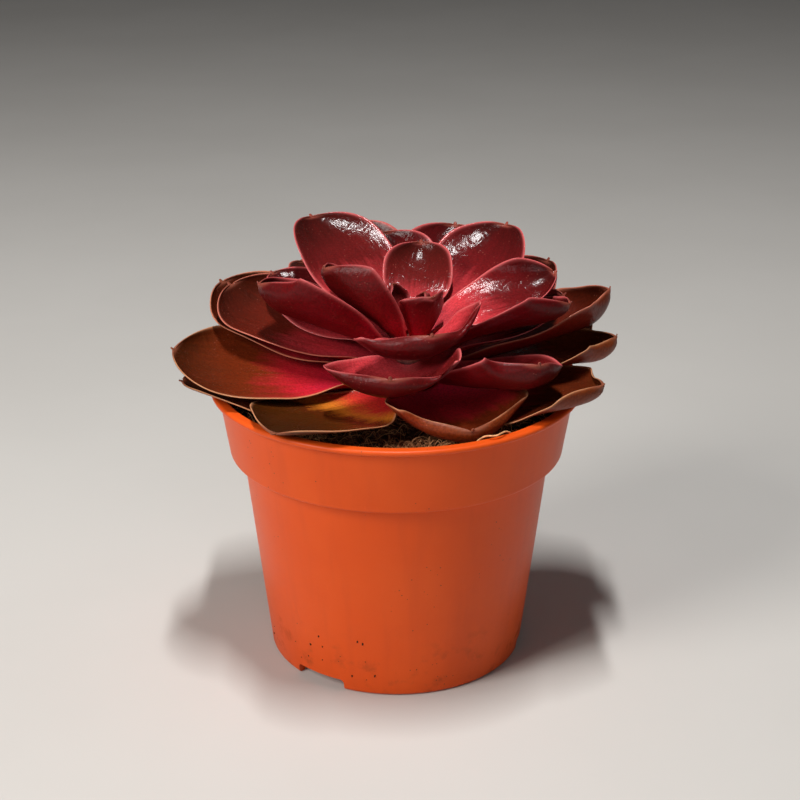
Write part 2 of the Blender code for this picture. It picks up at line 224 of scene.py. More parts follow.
def ringFaces(ringCount, sides, closed=True):
    # Quads between rings of points, then a flat end at each end of the stack.
    faces = []
    for first in range(0, sides * (ringCount - 1), sides):
        for i in range(sides):
            j = (i + 1) % sides
            faces.append([first + i, first + sides + i, first + sides + j, first + j])
    if closed:
        faces.append(list(range(sides)))
        faces.append([sides * ringCount - 1 - i for i in range(sides)])
    return faces


def turned(profile, sides, centre=(0.0, 0.0)):
    turns = np.arange(sides) * math.tau / sides
    rings = []
    for radius, height in profile:
        ring = np.stack([centre[0] + radius * np.cos(turns), centre[1] + radius * np.sin(turns)], axis=1)
        rings.append(np.column_stack([ring, np.full(sides, height)]))
    return np.vstack(rings)


def arc(centreR, centreZ, radius, start, end, steps):
    turns = [math.radians(start + (end - start) * i / steps) for i in range(steps + 1)]
    return [(centreR + radius * math.cos(t), centreZ + radius * math.sin(t)) for t in turns]


# The pot: one moulded shell with a rolled lip, a collar, a step and a notched foot ring.
pot = {
    "wall": 1.2 * mm,
    "lipHeight": 1.8 * mm,
    "lipFillet": 0.45 * mm,
    "collarTop": 57.4 * mm,
    "collarFoot": 54.2 * mm,
    "collarHeight": 21.0 * mm,
    "collarCorner": 1.2 * mm,
    "bodyTop": 50.2 * mm,
    "stepFillet": 0.5 * mm,
    "footRadius": 42.2 * mm,
    "footFillet": 1.4 * mm,
    "baseLift": 5.2 * mm,
    "sides": 288,
    "notchCount": 3,
    "notchWidth": 18.5 * mm,
    "notchHeight": 3.8 * mm,
    "notchCorner": 1.4 * mm,
    "notchReach": 6 * mm,  # to either side of the foot ring
    "notchTurn": -126.0,
    "drainCount": 6,
    "drainRadius": 3.5 * mm,
    "drainCircle": 27.0 * mm,
    "drainSides": 40,
    "cutSharp": 38,  # degrees
    "colour": (0.70, 0.080, 0.007),
    "pale": (0.78, 0.112, 0.016),
    "deep": (0.50, 0.055, 0.010),
    "dirt": (0.045, 0.022, 0.012),
}
collarFootHeight = potHeight - pot["lipHeight"] - pot["collarHeight"]


def bodyRadius(height):
    return pot["footRadius"] + (pot["bodyTop"] - pot["footRadius"]) * height / collarFootHeight


def collarRadius(height):
    share = (height - collarFootHeight) / pot["collarHeight"]
    return pot["collarFoot"] + (pot["collarTop"] - pot["collarFoot"]) * share


def potProfile():
    wall = pot["wall"]
    lipRound = pot["lipHeight"] / 2
    lipMiddle = potHeight - lipRound
    corner = collarFootHeight + pot["collarCorner"]
    ledge = collarFootHeight + wall
    mouth = pot["collarTop"] - wall
    points = [(bodyRadius(pot["baseLift"]) - wall, pot["baseLift"])]
    points += [(pot["bodyTop"] - wall, ledge), (collarRadius(ledge) - wall, ledge)]
    points += arc(mouth + lipRound, lipMiddle, lipRound, 180, 90, 8)
    points += arc(lipRadius - lipRound, lipMiddle, lipRound, 90, -90, 16)
    fillet = pot["lipFillet"]
    points += arc(pot["collarTop"] + fillet, potHeight - pot["lipHeight"] - fillet, fillet, 90, 180, 4)
    points += arc(collarRadius(corner) - pot["collarCorner"], corner, pot["collarCorner"], 0, -90, 8)
    fillet = pot["stepFillet"]
    points += arc(pot["bodyTop"] + fillet, collarFootHeight - fillet, fillet, 90, 180, 4)
    for i in range(1, 12):
        height = collarFootHeight * (1 - i / 12)
        points.append((bodyRadius(height), height))
    fillet = pot["footFillet"]
    points += arc(bodyRadius(fillet) - fillet, fillet, fillet, 0, -90, 8)
    inner = pot["footRadius"] - pot["footFillet"] - wall
    points += [(inner + 0.3 * mm, 0.0), (inner, 0.3 * mm), (inner, pot["baseLift"] - wall)]
    return points


def potPaint():
    gloss = {"Specular_IOR_Level": 0.22, "Subsurface_Weight": 0.04, "Subsurface_Scale": 0.002}
    paint = Paint("terracottaPlastic", **gloss)
    paint.shader.inputs["Subsurface Radius"].default_value = (1.0, 0.35, 0.15)
    height = paint.node("SeparateXYZ", None, {0: paint.place()}, out=2)
    cloud = paint.grain(38, 4)
    streak = paint.grain(1, 3, where=paint.stretched(160, 160, 9))
    colour = paint.mix(cloud.between(0.38, 0.72) * 0.30, pot["colour"], pot["pale"])
    colour = paint.mix(streak.between(0.45, 0.75) * 0.22, colour, pot["deep"])
    scuff = paint.grain(1, 2, 0.6, where=paint.stretched(900, 900, 60)).between(0.66, 0.74)
    scuff = scuff * paint.grain(55, 2).between(0.5, 0.68)
    colour = paint.mix(scuff * 0.5, colour, pot["pale"])
    low = 1 - height.between(0.004, 0.030)
    dust = paint.grain(120, 5, 0.65).between(0.50, 0.72)
    colour = paint.mix(low * dust * 0.35, colour, pot["dirt"])
    speck = 1 - paint.cells(520).between(0.07, 0.14)
    speck = speck * paint.grain(70, 2).between(0.58, 0.64)
    colour = paint.mix((speck * 0.8).clamped(), colour, pot["dirt"])
    rough = 0.34 + 0.10 * cloud + 0.16 * scuff + 0.22 * low * dust
    ripple = paint.grain(1, 2, where=paint.stretched(60, 60, 420))
    fine = paint.grain(1400, 2)
    normal = paint.bump(ripple, 0.10, 0.4 * mm)
    normal = paint.bump(fine, 0.10, 0.08 * mm, normal)
    return paint.finish(colour, rough, normal)


def cutFrom(target, cutters):
    # Boolean cuts, made final, with the cutters taken away again.
    for cutter in cutters:
        cut = target.modifiers.new(cutter.name, "BOOLEAN")
        cut.operation = "DIFFERENCE"
        cut.solver = "EXACT"
        cut.object = cutter
    shape = target.evaluated_get(bpy.context.evaluated_depsgraph_get())
    mesh = bpy.data.meshes.new_from_object(shape)
    target.modifiers.clear()
    target.data = mesh
    mesh.shade_smooth()
    mesh.set_sharp_from_angle(angle=math.radians(pot["cutSharp"]))
    for cutter in cutters:
        bpy.data.objects.remove(cutter, do_unlink=True)


def notchCutter(turn, material):
    # A round-cornered block across the foot ring, reaching below it.
    half = pot["notchWidth"] / 2
    top = pot["notchHeight"]
    corner = pot["notchCorner"]
    outline = [(-half, -top), (half, -top)]
    outline += arc(half - corner, top - corner, corner, 0, 90, 5)
    outline += arc(-half + corner, top - corner, corner, 90, 180, 5)
    inward = pot["footRadius"] - pot["notchReach"]
    outward = pot["footRadius"] + pot["notchReach"]
    points = []
    for along in (outward, inward):
        for across, height in outline:
            x = along * math.cos(turn) - across * math.sin(turn)
            y = along * math.sin(turn) + across * math.cos(turn)
            points.append((x, y, height))
    return addMesh("notchCutter", points, ringFaces(2, len(outline)), material)


def makePot():
    material = potPaint()
    profile = potProfile()
    points = turned(profile, pot["sides"])
    faces = ringFaces(len(profile), pot["sides"])
    made = addMesh("nurseryPot", points, faces, material, ["pot"])
    cutters = []
    for i in range(pot["notchCount"]):
        turn = math.radians(pot["notchTurn"] + i * 360 / pot["notchCount"])
        cutters.append(notchCutter(turn, material))
    for i in range(pot["drainCount"]):
        turn = math.tau * (i + 0.5) / pot["drainCount"]
        centre = (pot["drainCircle"] * math.cos(turn), pot["drainCircle"] * math.sin(turn))
        ends = [(pot["drainRadius"], pot["baseLift"] + pot["wall"]), (pot["drainRadius"], 0.0)]
        points = turned(ends, pot["drainSides"], centre)
        cutters.append(addMesh("drainCutter", points, ringFaces(2, pot["drainSides"]), material))
    cutFrom(made, cutters)
    print("pot: moulded shell done")


makePot()


# The compost: peat and coir, with fibres, bark chips and litter on it. Reaches are radii inside the mouth.
compost = {
    "belowLip": 8.0 * mm,
    "swell": 0.7 * mm,
    "gap": 0.3 * mm,
    "sides": 220,
    "rings": 70,
    "lump": 1.1 * mm,
    "stemReach": 9.5 * mm,
    "fibres": 1700,
    "fibreReach": 53.5 * mm,
    "fibreLength": (3, 13),  # in mm, as are the radius and the lift
    "fibreRadius": (0.07, 0.22),
    "fibreLift": 4.6,
    "fibreSteps": 9,
    "fibreSides": 3,
    "turnBack": 55.0 * mm,  # where a fibre stops short of the pot's wall
    # each mound's middle and spread in mm
    "mounds": [(6, -47, 7, 3.0), (34, -39, 5, 5), (-39, -34, 6, 6), (22, 42, 12, 5)],
    "moundFibres": 190,  # to each mound
    "moundReach": 53.0 * mm,
    "bark": 420,
    "barkReach": 52.5 * mm,
    "barkWear": 0.12 * mm,
    "crumbs": 18,
    "dark": (0.075, 0.030, 0.013),
    "brown": (0.26, 0.100, 0.042),
    "tan": (0.55, 0.250, 0.110),
    "fibreColours": [(0.24, 0.075, 0.028), (0.92, 0.46, 0.21), (0.16, 0.060, 0.024)],
    "barkColours": [(0.014, 0.008, 0.005), (0.15, 0.075, 0.036), (0.05, 0.026, 0.014)],
    "seed": 11,
}
soilLevel = potHeight - compost["belowLip"]
plant = {
    "x": 5.0 * mm,
    "y": -3.0 * mm,
    "stemRadius": 8.5 * mm,
    "stemHeight": 25.0 * mm,
    "gap": 0.3 * mm,
    "barkColours": [(0.070, 0.008, 0.008), (0.20, 0.045, 0.030)],
}


def soilHeight(x, y):
    wave = math.sin(x / (7.0 * mm) + 0.6) * math.cos(y / (9.0 * mm)) + 0.5 * math.sin((x - y) / (4.5 * mm))
    return soilLevel + compost["swell"] * wave / 1.5


def crumbled(x, y):
    # The compost's height with its lumps and pits.
    spot = Vector((x, y, 0.0))
    lumps = noise.fractal(spot / (5.0 * mm), 0.7, 2.1, 4) + 0.8 * noise.noise(spot / (1.3 * mm))
    return soilHeight(x, y) + compost["lump"] * (0.55 * lumps - 0.35)


def compostPaint():
    paint = Paint("peatAndCoir", Specular_IOR_Level=0.18)
    fine = paint.grain(900, 6, 0.7)
    coarse = paint.grain(170, 4, 0.6)
    colour = paint.mix(coarse.between(0.35, 0.65), compost["dark"], compost["brown"])
    colour = paint.mix(fine.between(0.56, 0.72) * 0.7, colour, compost["tan"])
    normal = paint.bump(fine, 0.8, 0.7 * mm)
    return paint.finish(colour, 0.82 + 0.15 * fine, normal)


def fibrePaint():
    paint = Paint("coirFibre", Specular_IOR_Level=0.25)
    tone = paint.field("tone")
    along = paint.grain(700, 2)
    dark, pale, stained = compost["fibreColours"]
    colour = paint.mix(tone, dark, pale)
    colour = paint.mix(along.between(0.4, 0.7) * 0.4, colour, stained)
    return paint.finish(colour, 0.62 + 0.25 * along, paint.bump(along, 0.4, 0.1 * mm))


def barkPaint():
    paint = Paint("barkChips", Specular_IOR_Level=0.2)
    tone = paint.field("tone")
    grainLines = paint.grain(1, 4, where=paint.stretched(400, 1500, 1500))
    dark, pale, stained = compost["barkColours"]
    colour = paint.mix(tone, dark, pale)
    colour = paint.mix(grainLines.between(0.42, 0.7) * 0.6, colour, stained)
    return paint.finish(colour, 0.75 + 0.2 * grainLines, paint.bump(grainLines, 0.7, 0.25 * mm))


def makeCompost():
    sides = compost["sides"]
    inner = plant["stemRadius"] - 1.5 * mm
    edge = collarRadius(soilLevel) - pot["wall"] - compost["gap"]
    turns = np.arange(sides) * math.tau / sides
    points = []
    for ring in range(compost["rings"] + 1):
        share = ring / compost["rings"]
        radius = inner + (edge - inner) * share
        middle = (plant["x"] * (1 - share), plant["y"] * (1 - share))
        for turn in turns:
            x = middle[0] + radius * math.cos(turn)
            y = middle[1] + radius * math.sin(turn)
            points.append((x, y, crumbled(x, y)))
    ledge = collarFootHeight + pot["wall"]
    slack = pot["wall"] + compost["gap"]
    ledgeTop = ledge + compost["gap"]
    bottom = pot["baseLift"]
    deep = [(collarRadius(ledge) - slack, ledgeTop), (pot["bodyTop"] - slack, ledgeTop)]
    deep.append((bodyRadius(bottom) - slack, bottom + compost["gap"]))
    points = np.vstack([np.array(points), turned(deep, sides)])
    faces = ringFaces(compost["rings"] + 1 + len(deep), sides)
    addMesh("compostFill", points, faces, compostPaint(), ["potting_soil"], sharp=0)


def strandMesh(paths, radii, sides=4):
    # One tube along each path, closed at both ends, all in one mesh.
    points = []
    faces = []
    for path, radius in zip(paths, radii):
        first = len(points)
        path = np.asarray(path)
        tangents = np.gradient(path, axis=0)
        tangents /= np.linalg.norm(tangents, axis=1, keepdims=True)
        for i, (spot, tangent) in enumerate(zip(path, tangents)):
            side = np.cross(tangent, (0.0, 0.0, 1.0))
            side /= np.linalg.norm(side) + 1e-9
            up = np.cross(side, tangent)
            thin = radius * (1.0 - 0.6 * abs(2 * i / (len(path) - 1) - 1) ** 3)
            for k in range(sides):
                turn = math.tau * k / sides
                points.append(spot + thin * (math.cos(turn) * side + math.sin(turn) * up))
        faces += [[first + index for index in face] for face in ringFaces(len(path), sides)]
    return np.array(points), faces


def insideMouth(draw, reach):
    turn = draw.uniform(0, math.tau)
    radius = math.sqrt(draw.uniform(compost["stemReach"] ** 2, reach**2))
    return radius * math.cos(turn), radius * math.sin(turn)


def makeFibres():
    draw = random.Random(compost["seed"])
    paths = []
    radii = []
    tones = []
    steps = compost["fibreSteps"]
    sides = compost["fibreSides"]
    heaped = [mound for mound in compost["mounds"] for _ in range(compost["moundFibres"])]
    for mound in [None] * compost["fibres"] + heaped:
        if mound:
            x, y = draw.gauss(mound[0], mound[2]) * mm, draw.gauss(mound[1], mound[3]) * mm
            inward = min(1.0, compost["moundReach"] / math.hypot(x, y))
            x, y = x * inward, y * inward
        else:
            x, y = insideMouth(draw, compost["fibreReach"])
        heading = draw.uniform(0, math.tau)
        length = draw.uniform(*compost["fibreLength"]) * mm
        bend = draw.uniform(-2.2, 2.2)
        lift = draw.uniform(0.0, 1.0) ** (1.0 if mound else 3.0) * compost["fibreLift"] * mm
        path = []
        for i in range(steps):
            share = i / (steps - 1)
            if math.hypot(x, y) < compost["turnBack"]:
                x += length / steps * math.cos(heading + bend * share)
                y += length / steps * math.sin(heading + bend * share)
            else:
                x *= 0.985
                y *= 0.985
            rise = lift * math.sin(math.pi * share) + 0.35 * mm
            rise += 0.3 * mm * math.sin(9 * share + heading)
            path.append((x, y, crumbled(x, y) + rise))
        paths.append(path)
        radii.append(draw.uniform(*compost["fibreRadius"]) * mm)
        tones.append(draw.uniform(0.0, 1.0) ** 1.2)
    points, faces = strandMesh(paths, radii, sides)
    tone = np.repeat(tones, steps * sides)
    addMesh("coirFibres", points, faces, fibrePaint(), fields={"tone": tone})


chipCorners = [(a, b, c) for c in (-1, 1) for a, b in ((-1, -1), (1, -1), (1, 1), (-1, 1))]
chipFaces = [(3, 2, 1, 0), (4, 5, 6, 7), (0, 1, 5, 4), (1, 2, 6, 5), (2, 3, 7, 6), (3, 0, 4, 7)]


def chipMesh(places, draw):
    # Broken chips: each a box with its eight corners moved, tilted and turned at random.
    points = []
    faces = []
    for (x, y, z), size in places:
        first = len(points)
        turn = draw.uniform(0, math.tau)
        tilt = draw.uniform(-0.6, 0.6)
        for a, b, c in chipCorners:
            a = a * size[0] * draw.uniform(0.55, 1.0)
            b = b * size[1] * draw.uniform(0.55, 1.0)
            c = c * size[2] * draw.uniform(0.5, 1.0) + a * tilt
            aside = a * math.cos(turn) - b * math.sin(turn)
            back = a * math.sin(turn) + b * math.cos(turn)
            points.append((x + aside, y + back, z + c))
        faces += [[first + index for index in face] for face in chipFaces]
    return points, faces


def makeBark():
    draw = random.Random(compost["seed"] + 1)
    places = []
    tones = []
    for _ in range(compost["bark"]):
        x, y = insideMouth(draw, compost["barkReach"])
        long = draw.uniform(0.5, 2.4) * mm
        size = (long, long * draw.uniform(0.3, 0.7), draw.uniform(0.25, 0.8) * mm)
        places.append(((x, y, crumbled(x, y) + 0.4 * size[2]), size))
        tones += [draw.uniform(0, 1) ** 1.5] * len(chipCorners)
    points, faces = chipMesh(places, draw)
    fields = {"tone": tones}
    made = addMesh("barkChips", points, faces, barkPaint(), fields=fields, sharp=0)
    bevel = made.modifiers.new("worn edges", "BEVEL")
    bevel.width = compost["barkWear"]
    bevel.segments = 2


def makeCrumbs():
    # Specks of compost stuck to the outside of the pot, most of them low on its near left.
    draw = random.Random(compost["seed"] + 2)
    places = []
    for _ in range(compost["crumbs"]):
        turn = math.radians(draw.gauss(-122, 24))
        height = (5 + abs(draw.gauss(0, 9))) * mm
        size = draw.uniform(0.10, 0.30) * mm
        radius = bodyRadius(height) + 0.3 * size
        spot = (radius * math.cos(turn), radius * math.sin(turn), height)
        places.append((spot, (size, size * 0.8, size * draw.uniform(0.6, 1.8))))
    points, faces = chipMesh(places, draw)
    tones = np.full(len(points), 0.08)
    addMesh("potCrumbs", points, faces, barkPaint(), fields={"tone": tones}, sharp=0)


litter = {
    # both paths in millimetres, with their heights measured from the compost
    "leafPath": [
        (-15, -8.5, 1.6),
        (-24, -9.0, 2.0),
        (-33, -10.0, 1.7),
        (-41, -12.5, 1.9),
        (-47, -15.5, 2.4),
    ],
    "leafWidth": 8.0 * mm,
    "leafThickness": 0.5 * mm,
    "leafSteps": 40,
    "leafColumns": 17,
    "strawPath": [
        (17, -42, 1.5),
        (22, -47, 4.5),
        (26, -49.5, 8.4),
        (29.5, -50.5, 9.2),
        (33, -46.5, 8.8),
        (37, -41, 4.0),
    ],
    "strawRadius": 0.28 * mm,
    "strawSteps": 30,
}


def smoothPath(spots, steps):
    spots = np.array(spots) * mm
    spots[:, 2] += soilLevel
    return curveWeights(np.linspace(0, len(spots) - 1, steps), len(spots)) @ spots


def makeLitter():
    # One dead leaf lying dry and wrinkled on the compost, and a straw over the lip.
    steps = litter["leafSteps"]
    columns = litter["leafColumns"]
    path = smoothPath(litter["leafPath"], steps)
    forward = np.gradient(path, axis=0)
    forward /= np.linalg.norm(forward, axis=1, keepdims=True)
    across = np.cross(forward, (0.0, 0.0, 1.0))
    share = np.linspace(0, 1, steps)
    side = np.linspace(-1, 1, columns)
    swell = np.sin(math.pi * np.clip(share * 0.9 + 0.08, 0, 1)) ** 0.7
    wide = litter["leafWidth"] / 2 * (0.35 + 0.65 * swell)
    points = path[:, None] + across[:, None] * (side[None, :] * wide[:, None])[..., None]
    curl = 1.3 * side**2 * np.sin(math.pi * share)[:, None]
    curl = curl + 0.35 * np.sin(9 * side + 14 * share[:, None])
    points[..., 2] += curl * mm * 0.55
    thick = litter["leafThickness"] * (1 - 0.7 * side**4)
    under = points - np.array([0.0, 0.0, 1.0]) * thick[None, :, None]
    rings = np.concatenate([points, under[:, ::-1]], axis=1)
    tone = np.tile(np.concatenate([0.35 + 0.4 * side**2, np.full(columns, 0.2)]), steps)
    faces = ringFaces(steps, 2 * columns)
    points = rings.reshape(-1, 3)
    addMesh("deadLeaf", points, faces, barkPaint(), fields={"tone": tone}, sharp=0)
    path = smoothPath(litter["strawPath"], litter["strawSteps"])
    points, faces = strandMesh([path], [litter["strawRadius"]], 8)
    tone = np.full(len(points), 0.9)
    addMesh("straw", points, faces, fibrePaint(), fields={"tone": tone}, sharp=0)


makeCompost()
makeFibres()
makeBark()
makeCrumbs()
makeLitter()
print("compost: fill, fibres, bark and crumbs done")


# Youngest first: the way it points, its height on the stem, length and width in millimetres, slope at
# the stem, slope it would end on, then what differs from a plain leaf.
leafRows = [
    (150, 0.92, 17, 11, 78, 66, {"cup": 50}),
    (20, 0.94, 14, 8, 84, 74, {"cup": 50}),
    (-58, 0.90, 19, 19, 70, 56, {"curl": 10, "cup": 55}),
    (84, 0.88, 36, 24, 44, 32, {"curl": 18, "cup": 35}),
    (188, 0.70, 37, 37, 56, 44, {"curl": 22, "cup": 62, "roll": 22}),
    (16, 0.82, 48, 24, 28, 12, {"cup": 50, "roll": 26}),
    (128, 0.80, 59, 36, 35, 22, {"curl": 24, "cup": 35}),
    (-80, 0.79, 34, 48, 14, 26, {"curl": 68, "cup": 56, "roll": 11}),
    (50, 0.74, 54, 33, 39, 26, {"curl": 18, "cup": 32}),
    (178, 0.55, 50, 44, 34, 18, {"curl": 42, "cup": 62, "roll": 20}),
    (-11, 0.69, 49, 36, 23, 16, {"curl": 38, "cup": 55, "roll": -18}),
    (102, 0.67, 50, 34, 36, 28, {"curl": 18, "cup": 35}),
    (-99, 0.61, 42, 48, 0, 14, {"curl": 66, "roll": 4}),
    (14, 0.64, 48, 28, 20, 12, {"cup": 52, "roll": -8}),
    (143, 0.50, 56, 28, 18, 9, {"cup": 35}),
    (75, 0.60, 61, 34, 31, 18, {"cup": 35}),
    (-42, 0.44, 49, 41, 8, 14, {"curl": 66, "cup": 50, "roll": -20}),
    (108, 0.56, 66, 32, 28, 18, {"cup": 35}),
    (39, 0.55, 58, 32, 24, 16, {"cup": 40}),
    (124, 0.46, 64, 34, 18, 9, {}),
    (154, 0.49, 64, 46, 16, 8, {"curl": 40, "roll": -22}),
    (16, 0.47, 67, 42, 11, 12, {"curl": 62, "cup": 55, "roll": -10}),
    (151, 0.43, 70, 44, 14, 6, {"curl": 45, "roll": -18}),
    (66, 0.42, 59, 34, 14, 10, {"curl": 36}),
    (-69, 0.20, 45, 54, -6, 2, {"curl": 60, "cup": 50, "roll": -10}),
    (94, 0.38, 59, 36, 12, 8, {"curl": 36}),
    (182, 0.36, 71, 50, 2, 4, {"curl": 44, "cup": 28, "roll": -14}),
    (4, 0.34, 64, 38, 1, 8, {"curl": 70, "cup": 55, "roll": -12}),
    (32, 0.32, 64, 36, 8, 6, {"curl": 36}),
    (-24, 0.27, 60, 42, 0, 3, {"curl": 66, "cup": 55}),
    (-130, 0.09, 57, 50, 0, -2, {"curl": 10, "cup": 34, "roll": 8}),
    (72, 0.24, 61, 38, 4, 4, {"curl": 36}),
    (188, 0.25, 66, 40, 2, 0, {"curl": 36, "cup": 30, "roll": -12}),
    (102, 0.21, 59, 38, 1, 2, {"curl": 36}),
]
leafShape = {
    "thickness": 2.4 * mm,
    "tipThickness": 0.4,
    "narrowest": 1.0 * mm,
    "neck": 0.24,
    "widestAt": 0.62,
    "bluntness": 2.3,
    "neckCup": 60.0,
    "curl": 30.0,
    "cup": 45.0,
    "roll": 0.0,
    "coarseLength": 10,
    "coarseWidth": 6,
    "fineLength": 64,
    "fineWidth": 36,
    "margin": 0.55 * mm,  # thickness of the rounded margin
    "keel": 0.35 * mm,
    "wave": 0.35 * mm,
    "mucro": 1.3 * mm,
    "rimWidth": 0.55 * mm,
    "oldFrom": 17,  # leaves older than this turn browner, over the next nine
    "oldOver": 9,
    "fadingLeaf": 31,
}
settle = {
    "gap": 1.1 * mm,
    "cell": 1.5 * mm,
    "cells": 70,
    "passes": 90,
    "gentle": 0.5,
    "free": 0.2,
    "push": 2.0 * mm,
    "samples": 4,
    "easing": 0.1,
}


def halfWidth(share):
    rise = np.sin(np.clip(share / leafShape["widestAt"], 0, 1) * math.pi / 2) ** 1.5
    swell = leafShape["neck"] + (1 - leafShape["neck"]) * rise
    past = np.clip((share - leafShape["widestAt"]) / (1 - leafShape["widestAt"]), 0, 1)
    return np.where(share < leafShape["widestAt"], swell, np.sqrt(1 - past ** leafShape["bluntness"]))


coarseSpacing = 1.15  # the coarse rows crowd a little towards the tip


def coarseShares():
    return 1.0 - (1.0 - np.linspace(0.0, 1.0, leafShape["coarseLength"] + 1)) ** coarseSpacing


def coarseSides():
    side = np.linspace(-1.0, 1.0, leafShape["coarseWidth"] + 1)
    return 0.35 * np.sin(side * math.pi / 2) + 0.65 * side


def stemRadiusAt(height):
    share = np.clip((height - soilLevel) / plant["stemHeight"], 0.0, 1.0)
    return plant["stemRadius"] * np.sqrt(np.clip(1.0 - share**2.2, 0.02, 1.0)) * (1.0 - 0.25 * share)


def blade(row, share, side):
    # (upper surface, thickness, half width) of a leaf as it would grow alone.
    turn, level, length, width, rise, slope, own = row
    curl, cup, roll = (own.get(key, leafShape[key]) for key in ("curl", "cup", "roll"))
    fine = np.linspace(0.0, 1.0, 201)
    turn = math.radians(turn)
    pitch = rise + (slope - rise) * fine**1.1 + curl * smoothStep((fine - 0.72) / 0.28)
    pitch = np.radians(pitch)
    out = np.array([math.cos(turn), math.sin(turn), 0.0])
    up = np.array([0.0, 0.0, 1.0])
    along = np.cos(pitch)[:, None] * out + np.sin(pitch)[:, None] * up
    height = soilLevel + level * plant["stemHeight"]
    root = np.array([plant["x"], plant["y"], height]) + out * (float(stemRadiusAt(height)) + plant["gap"])
    steps = (along[1:] + along[:-1]) / 2 * length * mm / (len(fine) - 1)
    midrib = root + np.vstack([np.zeros(3), np.cumsum(steps, axis=0)])
    middle = np.stack([np.interp(share, fine, midrib[:, k]) for k in range(3)], axis=-1)
    forward = np.stack([np.interp(share, fine, along[:, k]) for k in range(3)], axis=-1)
    forward /= np.linalg.norm(forward, axis=1, keepdims=True)
    across = np.cross(up, out)[None, :].repeat(len(share), axis=0)
    normal = np.cross(forward, across)
    lean = (math.radians(roll) * smoothStep(share / 0.35))[:, None]
    cosine, sine = np.cos(lean), np.sin(lean)
    across, normal = across * cosine + normal * sine, normal * cosine - across * sine
    half = np.maximum(width * mm / 2 * halfWidth(share), leafShape["narrowest"] / 2)
    bend = np.radians(cup + (leafShape["neckCup"] - cup) * (1 - smoothStep(share / 0.45)))
    angle = bend[:, None] * side
    spread = (half / bend)[:, None]
    upper = middle[:, None] + across[:, None] * (spread * np.sin(angle))[..., None]
    upper += normal[:, None] * (spread * (1 - np.cos(angle)))[..., None]
    taper = 1 - (1 - leafShape["tipThickness"]) * smoothStep((share - 0.1) / 0.9)
    taper *= np.clip(half / (0.25 * width * mm), 0.3, 1.0)
    return upper, leafShape["thickness"] * taper[:, None] * (1 - np.abs(side) ** 2.4), half


def unitNormals(upper):
    normal = np.cross(np.gradient(upper, axis=-3), np.gradient(upper, axis=-2))
    normal /= np.linalg.norm(normal, axis=-1, keepdims=True)
    normal[..., -1, :, :] = normal[..., -2, :, :]
    return normal


def widestNear(field):
    padded = np.pad(field, ((0, 0), (1, 1), (1, 1)), mode="edge")
    rows, columns = field.shape[1:]
    return np.max([padded[:, i : i + rows, j : j + columns] for i in range(3) for j in range(3)], axis=0)


def blurred(field):
    padded = np.pad(field, ((0, 0), (1, 1), (0, 0)) + ((0, 0),) * (field.ndim - 3), mode="edge")
    field = 0.25 * padded[:, :-2] + 0.5 * padded[:, 1:-1] + 0.25 * padded[:, 2:]
    padded = np.pad(field, ((0, 0), (0, 0), (1, 1)) + ((0, 0),) * (field.ndim - 3), mode="edge")
    return 0.25 * padded[:, :, :-2] + 0.5 * padded[:, :, 1:-1] + 0.25 * padded[:, :, 2:]


def betweenWeights(count, steps):
    places = np.linspace(0, count - 1, (count - 1) * steps + 1)
    return np.maximum(0.0, 1.0 - np.abs(places[:, None] - np.arange(count)))


def cellsOf(points):
    index = np.floor(points[..., :2] / settle["cell"]).astype(int) + settle["cells"]
    index = np.clip(index, 0, 2 * settle["cells"] - 1)
    return index[..., 0] * 2 * settle["cells"] + index[..., 1]


def ground():
    # The height under each square: the compost inside the mouth, the lip round it, and nothing beyond.
    middles = (np.arange(2 * settle["cells"]) - settle["cells"] + 0.5) * settle["cell"]
    radius = np.hypot(middles[:, None], middles[None, :]).ravel()
    mouth = pot["collarTop"] - pot["wall"] - 2 * plant["gap"] - settle["cell"]
    level = np.where(radius < mouth, soilLevel + compost["swell"], potHeight)
    return np.where(radius > lipRadius + 2 * plant["gap"] + settle["cell"], -1.0, level)


def nearestLargest(field):
    for _ in range(settle["samples"] // 2):
        field = widestNear(field)
    return field[:, :: settle["samples"], :: settle["samples"]]


def crowding(upper, thickness):
    # How far each grid point has to rise off what is under it, and to sink from what is over it.
    rows, columns = (betweenWeights(count, settle["samples"]) for count in thickness.shape[1:])
    under = upper - unitNormals(upper) * thickness[..., None]
    tops = np.einsum("si,tj,nijk->nstk", rows, columns, upper)
    bottoms = np.einsum("si,tj,nijk->nstk", rows, columns, under)
    count = len(upper)
    squares = (2 * settle["cells"]) ** 2
    highest = np.full((count, squares), -1.0)
    lowest = np.full((count, squares), 1.0)
    topCells = cellsOf(tops)
    bottomCells = cellsOf(bottoms)
    for n in range(count):
        np.maximum.at(highest[n], topCells[n].ravel(), tops[n, ..., 2].ravel())
        np.minimum.at(lowest[n], bottomCells[n].ravel(), bottoms[n, ..., 2].ravel())
    over = np.vstack([np.full((1, squares), 1.0), np.minimum.accumulate(lowest, axis=0)[:-1]])
    below = np.maximum.accumulate(np.vstack([ground()[None], highest[:0:-1]]), axis=0)[::-1]
    each = np.arange(count)[:, None, None]
    rise = np.maximum(below[each, bottomCells] + settle["gap"] - bottoms[..., 2], 0.0)
    sink = np.maximum(tops[..., 2] + settle["gap"] - over[each, topCells], 0.0)
    return nearestLargest(rise), nearestLargest(sink)


def clearOfStem(upper):
    centre = np.array([plant["x"], plant["y"]])
    away = upper[..., :2] - centre
    radius = np.linalg.norm(away, axis=-1)
    inside = upper[..., 2] < soilLevel + plant["stemHeight"]
    least = np.where(inside, stemRadiusAt(upper[..., 2]) + 2 * plant["gap"], 0.0)
    moved = upper.copy()
    moved[..., :2] = centre + away * np.maximum(least / radius, 1.0)[..., None]
    return moved


